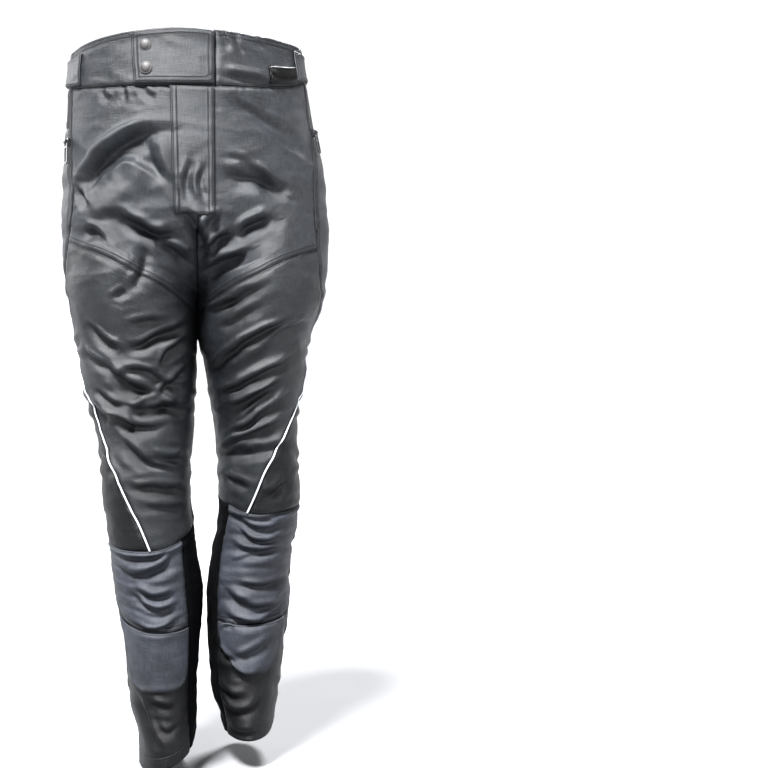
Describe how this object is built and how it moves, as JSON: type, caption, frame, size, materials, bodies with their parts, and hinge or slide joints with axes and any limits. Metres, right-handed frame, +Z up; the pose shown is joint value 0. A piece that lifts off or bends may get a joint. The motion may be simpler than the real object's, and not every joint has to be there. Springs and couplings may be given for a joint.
{
  "type": "motorcycle riding trousers",
  "caption": "Textile riding trousers standing in their worn shape: snap waist, fly placket, stretch back, ruched knees, shin patches and side pocket zips.",
  "frame": {"origin": "middle of the waistband, at half its height, where the wearer's waist holds the garment", "axes": "+Z up along the body, -Y to the front of the garment, -X to the wearer's right"},
  "size_m": [0.3766, 0.2585, 0.9967],
  "materials": {
    "black_nylon": "plain-weave coated nylon, slight sheen",
    "grey_nylon": "dense plain-weave nylon, slight sheen",
    "stretch_softshell": "matt stretch cloth",
    "heavy_weave": "coarse plain weave, matt",
    "ribbed_elastic": "elasticated ribbed cloth",
    "hook_and_loop": "hook-and-loop pile, matt",
    "reflective_piping": "reflective film over cord",
    "snap_metal": "satin",
    "zip_black": "coated black"
  },
  "bodies": {
    "garment": {"front_upper_right": "black_nylon", "thigh_front_right": "black_nylon", "side_strip_right": "black_nylon", "outer_thigh_right": "black_nylon", "sweep_right": "grey_nylon", "seat_right": "black_nylon", "gusset_right": "black_nylon", "ribbed_back_right": "ribbed_elastic", "knee_right": "grey_nylon", "shin_right": "black_nylon", "inner_leg_right": "stretch_softshell", "calf_right": "heavy_weave", "outer_calf_right": "black_nylon", "front_upper_left": "black_nylon", "thigh_front_left": "black_nylon", "side_strip_left": "black_nylon", "outer_thigh_left": "black_nylon", "sweep_left": "grey_nylon", "seat_left": "black_nylon", "gusset_left": "black_nylon", "ribbed_back_left": "ribbed_elastic", "knee_left": "grey_nylon", "shin_left": "black_nylon", "inner_leg_left": "stretch_softshell", "calf_left": "heavy_weave", "outer_calf_left": "black_nylon", "waistband_front_right": "black_nylon", "waistband_front_left": "black_nylon", "waistband_back": "black_nylon", "closure_tab": "black_nylon", "strap_right": "black_nylon", "strap_left": "black_nylon", "strap_end_left": "hook_and_loop", "loop_patch_right": "hook_and_loop", "loop_patch_left": "hook_and_loop", "snap_upper": "snap_metal", "snap_lower": "snap_metal", "fly_placket": "black_nylon", "shin_patch_right": "grey_nylon", "piping_right": "reflective_piping", "zip_tape_right": "zip_black", "zip_slider_right": "zip_black", "shin_patch_left": "grey_nylon", "piping_left": "reflective_piping", "zip_tape_left": "zip_black", "zip_slider_left": "zip_black"},
    "zip_pull_right": {"zip_pull_right": "zip_black"},
    "zip_pull_left": {"zip_pull_left": "zip_black"}
  },
  "joints": [
    {"name": "pull_swing_right", "type": "hinge", "parent": "garment", "child": "zip_pull_right", "pos_m": [-0.17676, -0.04453, -0.1064], "axis": [-0.5057, 0.8518, -0.1368], "range_deg": [0, 150]},
    {"name": "pull_swing_left", "type": "hinge", "parent": "garment", "child": "zip_pull_left", "pos_m": [0.16387, -0.04345, -0.08225], "axis": [-0.5156, -0.8508, 0.1015], "range_deg": [0, 150]}
  ]
}
